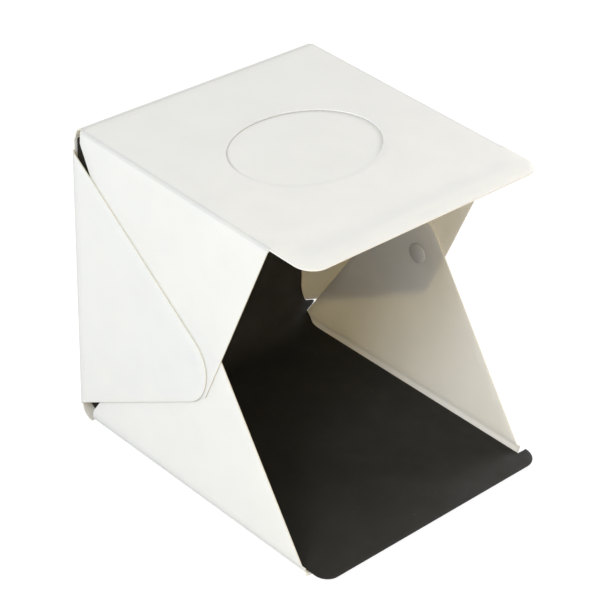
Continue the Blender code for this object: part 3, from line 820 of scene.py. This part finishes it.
def turned(work, profile, facets, wave=None):
    """A lathed closed form: (radius, height) points from its top centre down to its foot's centre."""
    rings = []
    for radius, height in profile:
        if not radius:
            rings.append([work.verts.new((0, 0, height))])
            continue
        ring = []
        for k in range(facets):
            turn = 2 * math.pi * k / facets
            x, y = radius * math.cos(turn), radius * math.sin(turn)
            ring.append(work.verts.new((x, y, height + (wave(x, y) if wave else 0))))
        rings.append(ring)
    for one, two in zip(rings, rings[1:]):
        for k in range(facets):
            j = (k + 1) % facets
            if len(one) == 1:
                work.faces.new((one[0], two[k], two[j]))
            elif len(two) == 1:
                work.faces.new((one[k], two[0], one[j]))
            else:
                work.faces.new((one[k], two[k], two[j], one[j]))


def cap(node, axis):
    """A shallow moulded dome with a rolled rim and the shadow groove above its flange."""
    foot, height = seat_of(node, axis)
    radius, rim = 0.008, 0.0004
    rise = height - rim
    ball = (radius ** 2 + rise ** 2) / (2 * rise)
    dome, rings = radius * 0.955, 11
    profile = [(0, height)]
    for k in range(1, rings + 1):
        spot = dome * k / rings
        profile.append((spot, height - ball + math.sqrt(ball ** 2 - spot ** 2)))
    profile += [(radius * 0.975, rim + 0.00003), (radius * 0.992, rim - 0.00006),
                (radius, rim - 0.00016), (radius, 0.00008), (radius * 0.99, 0), (0, 0)]
    work = bmesh.new()
    turned(work, profile, 72)
    standing(node, foot, axis, work, [cap_mat])


def disc(node, axis, material, edge, wave=None):
    """A round plate with softened rims; a wave gives its faces the nap of hooks or loops."""
    foot, height = seat_of(node, axis)
    places = [v.co - foot for v in nodes[node].data.vertices]
    radius = max((p - axis * p.dot(axis)).length for p in places)
    ring_width = 0.0006
    rings = max(4, round(radius / ring_width)) if wave else 2
    face = height - (edge if wave else 0)
    profile = [((radius - edge) * k / rings, face) for k in range(rings + 1)]
    profile += [(radius - edge * 0.3, face - edge * 0.3), (radius, height - 2 * edge), (radius, edge),
                (radius - edge * 0.3, edge * 0.3), (radius - edge, 0), (0, 0)]
    work = bmesh.new()
    turned(work, profile, 72 if wave else 56, wave and (lambda x, y: wave(x, y) * edge))
    standing(node, foot, axis, work, [material])


def hook_wave(x, y):
    """Rows of hooks."""
    return 0.45 * math.sin(x * 5200) * math.sin(y * 5200)


def loop_wave(x, y):
    """Loops lying in all directions."""
    return 0.35 * math.sin(x * 4100 + 2 * math.sin(y * 2300)) * math.cos(y * 3700 + math.sin(x * 1900))


for side, sign in SIDES:
    inward = -sign * ACROSS
    cap(side + "_magnet_cap", inward)
    disc(side + "_closure_magnet", inward, magnet_mat, 0.00012)
    disc(side + "_keeper_disc", inward, magnet_mat, 0.00006)
    disc(side + "_backdrop_loop_dot", WALL_FORWARD, loop_mat, 0.0001, loop_wave)
    disc(side + "_backdrop_hook_dot", -WALL_FORWARD, hook_mat, 0.0001, hook_wave)
for side in ("left", "front", "right"):
    disc(side + "_window_loop_dot", TOP_DOWN, loop_mat, 0.00007, loop_wave)
    disc(side + "_window_hook_dot", -TOP_DOWN, hook_mat, 0.00007, hook_wave)


# Light strip
def block(work, middle, size, bevel, material, segments):
    """A small box with rounded edges."""
    place = Matrix.Translation(middle) @ Matrix.Diagonal((*size, 1))
    made = bmesh.ops.create_cube(work, size=1, matrix=place)
    faces = {f for v in made["verts"] for f in v.link_faces}
    for face in faces:
        face.material_index = material
    edges = {e for v in made["verts"] for e in v.link_edges}
    bmesh.ops.bevel(work, geom=list(edges), offset=bevel, segments=segments, profile=0.5, affect="EDGES",
                    material=-1)


def chip(node):
    """A light chip: white case with a round well of yellow gel, and three leads to a side."""
    foot, height = seat_of(node, TOP_DOWN)
    half, well, facets, bevel, gel_drop, corner_power = 0.0025, 0.0021, 48, 0.00018, 0.00035, 14
    gel = height - gel_drop
    work = bmesh.new()

    def square_ring(reach, z):
        ring = []
        for k in range(facets):
            turn = 2 * math.pi * (k + 0.5) / facets
            c, s = math.cos(turn), math.sin(turn)
            grow = (abs(c) ** corner_power + abs(s) ** corner_power) ** (-1 / corner_power)
            ring.append(work.verts.new((reach * c * grow, reach * s * grow, z)))
        return ring

    def round_ring(reach, z):
        turns = (2 * math.pi * (k + 0.5) / facets for k in range(facets))
        return [work.verts.new((reach * math.cos(t), reach * math.sin(t), z)) for t in turns]

    rings = [square_ring(half - bevel, 0), square_ring(half - bevel * 0.3, bevel * 0.3),
             square_ring(half, bevel), square_ring(half, height - bevel),
             square_ring(half - bevel * 0.3, height - bevel * 0.3), square_ring(half - bevel, height),
             round_ring(well + 0.0001, height), round_ring(well, height - 0.0001),
             round_ring(well - 0.00015, gel)]
    case_rings = len(rings)
    for share in (0.85, 0.55, 0.25):
        rings.append(round_ring(well * share, gel + 0.00012 * (1 - share ** 2)))
    work.faces.new(rings[0][::-1])
    for index, (one, two) in enumerate(zip(rings, rings[1:])):
        for k in range(facets):
            j = (k + 1) % facets
            face = work.faces.new((one[k], one[j], two[j], two[k]))
            face.material_index = 1 if index >= case_rings - 1 else 0
    work.faces.new(rings[-1]).material_index = 1
    lead_pitch, lead_size = 0.0016, (0.0009, 0.0006, 0.0004)
    for x in (-lead_pitch, 0, lead_pitch):
        for end in (-1, 1):
            block(work, (x, end * (half + 0.0001), 0.00025), lead_size, 0.00006, 2, 2)
    standing(node, foot, TOP_DOWN, work, [chip_mat, gel_mat, pad_mat])


def slab(node, axis, material, radius, bevel):
    """A long flat piece with softened edges; gives its face's middle and half its length."""
    foot, height = seat_of(node, axis)
    places = [v.co - foot for v in nodes[node].data.vertices]
    half_x = max(p.dot(ACROSS) for p in places)
    half_y = max(p.dot(TOP_FORWARD) for p in places)
    corners = [(-half_x, -half_y, radius), (half_x, -half_y, radius), (half_x, half_y, radius),
               (-half_x, half_y, radius)]
    middle = foot + axis * (height / 2)
    outline = finer(rounded(corners, math.radians(18)), 2, 0.006)
    item = panel(node + "_finished", [outline], lay(middle, ACROSS, TOP_FORWARD, axis, flat), height,
                 0.006, bevel, [material, material])
    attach(item, nodes[node]["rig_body"])
    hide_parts(node)
    return foot + axis * height, half_x


slab("window_tab_tape", TOP_DOWN, tape_mat, 0.003, 0.00008)
slab("led_tape", TOP_DOWN, tape_mat, 0.0004, 0.0001)
board_face, board_half = slab("led_board", TOP_DOWN, board_mat, 0.0003, 0.00006)
chips = sorted(name for name in nodes if name.startswith("led_chip_"))
for name in chips:
    chip(name)


def fitted(name, work, middle, materials, sharp):
    """Small fittings, built in the top panel's directions, set on the top's body."""
    bmesh.ops.recalc_face_normals(work, faces=work.faces)
    place = Matrix((ACROSS, TOP_FORWARD, ACROSS.cross(TOP_FORWARD))).transposed().to_4x4()
    place.translation = middle
    bmesh.ops.transform(work, matrix=place, verts=work.verts)
    mesh = bpy.data.meshes.new(name)
    work.to_mesh(mesh)
    work.free()
    item = finish_object(name, mesh, materials)
    if sharp:
        mark_sharp(item.data, sharp)
    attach(item, "top")


def board_fittings():
    """Between two chips: a resistor, its solder, and the pads on both sides of a cut line."""
    pitch = 2 * board_half / len(chips)
    pad_rows, pad_size = (-0.0033, 0.0, 0.0033), (0.0013, 0.0018, 0.00008)
    work = bmesh.new()
    for index in range(len(chips) + 1):
        x = (index - len(chips) / 2) * pitch
        inner = 0 < index < len(chips)
        for row in pad_rows:
            for end in (-1, 1):
                pad = x + end * 0.0009
                if abs(pad) < board_half:
                    block(work, (pad, row, 0.00003), pad_size, 0.00002, 0, 1)
        if inner:
            spot, row = x + 0.0044, 0.0016
            block(work, (spot, row, 0.00035), (0.0012, 0.0022, 0.0005), 0.00006, 1, 2)
            for end in (-1, 1):
                solder = (spot, row + end * 0.0010, 0.00033)
                block(work, solder, (0.00128, 0.0005, 0.00056), 0.00008, 0, 2)
    fitted("led_board_fittings", work, board_face, [pad_mat, resistor_mat], 40)


board_fittings()


def contacts():
    """Gilded contacts along both faces of the inlet's tongue."""
    lo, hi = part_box("power_inlet_tongue")
    pitch, size = 0.0008, (0.0031, 0.00042, 0.00008)
    work = bmesh.new()
    for k in range(5):
        for end in (-1, 1):
            block(work, (0.0003, (k - 2) * pitch, end * 0.00036), size, 0.00002, 0, 1)
    fitted("inlet_contacts", work, (lo + hi) / 2, [gold_mat], None)


contacts()

# Finishes of the CAD nodes that stay as they are
FINISH = {"power_inlet_housing": housing_mat, "power_inlet_shell": socket_mat,
          "power_inlet_tongue": tongue_mat}
for name, material in FINISH.items():
    for place in nodes[name].material_slots:
        place.material = material


# Floor, light and camera
def looks_straight(tree):
    """1 for camera, glossy and transmission rays, which see the plain background."""
    path = tree.nodes.new("ShaderNodeLightPath")
    last = path.outputs["Is Camera Ray"]
    for ray in ("Is Glossy Ray", "Is Transmission Ray"):
        either = tree.nodes.new("ShaderNodeMath")
        either.operation = "MAXIMUM"
        tree.links.new(last, either.inputs[0])
        tree.links.new(path.outputs[ray], either.inputs[1])
        last = either.outputs[0]
    return last


# The floor lies just under the part, so that the base's underside and the floor don't share a plane
FLOOR_HALF, FLOOR_Z = 6, -0.0003
ground = bpy.data.meshes.new("floor")
floor_corners = [(-FLOOR_HALF, -FLOOR_HALF, FLOOR_Z), (FLOOR_HALF, -FLOOR_HALF, FLOOR_Z),
                 (FLOOR_HALF, FLOOR_HALF, FLOOR_Z), (-FLOOR_HALF, FLOOR_HALF, FLOOR_Z)]
ground.from_pydata(floor_corners, [], [(0, 1, 2, 3)])
floor = bpy.data.objects.new("floor", ground)
bpy.context.scene.collection.objects.link(floor)
s = Shade("floor_paper")
s.link(s.ramp(s.noise(60, 3), [(0.3, (0.215, 0.215, 0.215)), (0.7, (0.225, 0.225, 0.225))]),
       s.bsdf.inputs["Base Color"])
s.bsdf.inputs["Roughness"].default_value = 0.9
s.bsdf.inputs["Specular IOR Level"].default_value = 0.0
paper = s.node("Emission", Strength=0.86)
paper.inputs["Color"].default_value = (1, 1, 1, 1)
both = s.node("AddShader")
s.link(s.bsdf.outputs["BSDF"], both.inputs[0])
s.link(paper.outputs["Emission"], both.inputs[1])
bounce = s.node("BsdfDiffuse", Color=(0.85, 0.85, 0.85, 1))
pick = s.node("MixShader")
s.link(looks_straight(s.tree), pick.inputs["Fac"])
s.link(bounce.outputs["BSDF"], pick.inputs[1])
s.link(both.outputs["Shader"], pick.inputs[2])
s.link(pick.outputs["Shader"], s.out.inputs["Surface"])
ground.materials.append(s.mat)

world = bpy.data.worlds.new("studio")
bpy.context.scene.world = world
world.use_nodes = True
tree = world.node_tree
sky = tree.nodes["Background"]
sky.inputs["Color"].default_value = (1.0, 0.985, 0.955, 1)
sky.inputs["Strength"].default_value = 0.53
shown = tree.nodes.new("ShaderNodeBackground")
shown.inputs["Color"].default_value = (1, 1, 1, 1)
shown.inputs["Strength"].default_value = 1.0
choose = tree.nodes.new("ShaderNodeMixShader")
tree.links.new(looks_straight(tree), choose.inputs["Fac"])
tree.links.new(sky.outputs["Background"], choose.inputs[1])
tree.links.new(shown.outputs["Background"], choose.inputs[2])
tree.links.new(choose.outputs["Shader"], tree.nodes["World Output"].inputs["Surface"])


def lamp(name, place, aim, size, power, colour=(0.95, 0.98, 1.0)):
    """A round area lamp, turned towards its aim."""
    data = bpy.data.lights.new(name, "AREA")
    data.shape, data.size, data.energy = "DISK", size, power
    data.color = colour
    item = bpy.data.objects.new(name, data)
    item.location = place
    item.rotation_mode = "QUATERNION"
    item.rotation_quaternion = (Vector(aim) - Vector(place)).to_track_quat("-Z", "Y")
    bpy.context.scene.collection.objects.link(item)


lamp("key", (-1.75, -0.45, 1.45), (0, 0, 0.12), 0.9, 32.5, (0.91, 0.97, 1.0))
lamp("front", (-0.05, -1.3, 0.22), (0.05, 0, 0.14), 0.5, 4.5, (1.0, 0.80, 0.55))
lamp("right", (1.6, 0.3, 0.9), (0, 0, 0.12), 0.9, 16)

# The photograph's camera: its direction, its focal length in the frame's pixels, and its place
AZIMUTH, ELEVATION, ROLL = math.radians(45.4), math.radians(32.8), math.radians(3.7)
FRAME, FOCAL, CAMERA_PLACE = 600, 2157, Vector((-0.930, -0.90605, 0.955))
forward = Vector((math.sin(AZIMUTH) * math.cos(ELEVATION), math.cos(AZIMUTH) * math.cos(ELEVATION),
                  -math.sin(ELEVATION)))
right = Vector((math.cos(AZIMUTH), -math.sin(AZIMUTH), 0))
above = right.cross(forward)
x_axis = right * math.cos(ROLL) + above * math.sin(ROLL)
y_axis = -right * math.sin(ROLL) + above * math.cos(ROLL)
camera_data = bpy.data.cameras.new("camera")
camera_data.sensor_width, camera_data.lens = 36, FOCAL / FRAME * 36
camera = bpy.data.objects.new("camera", camera_data)
turn = Matrix((x_axis, y_axis, -forward)).transposed().to_4x4()
turn.translation = CAMERA_PLACE
camera.matrix_world = turn
bpy.context.scene.collection.objects.link(camera)
bpy.context.scene.camera = camera
bpy.context.scene.view_settings.view_transform = "Standard"
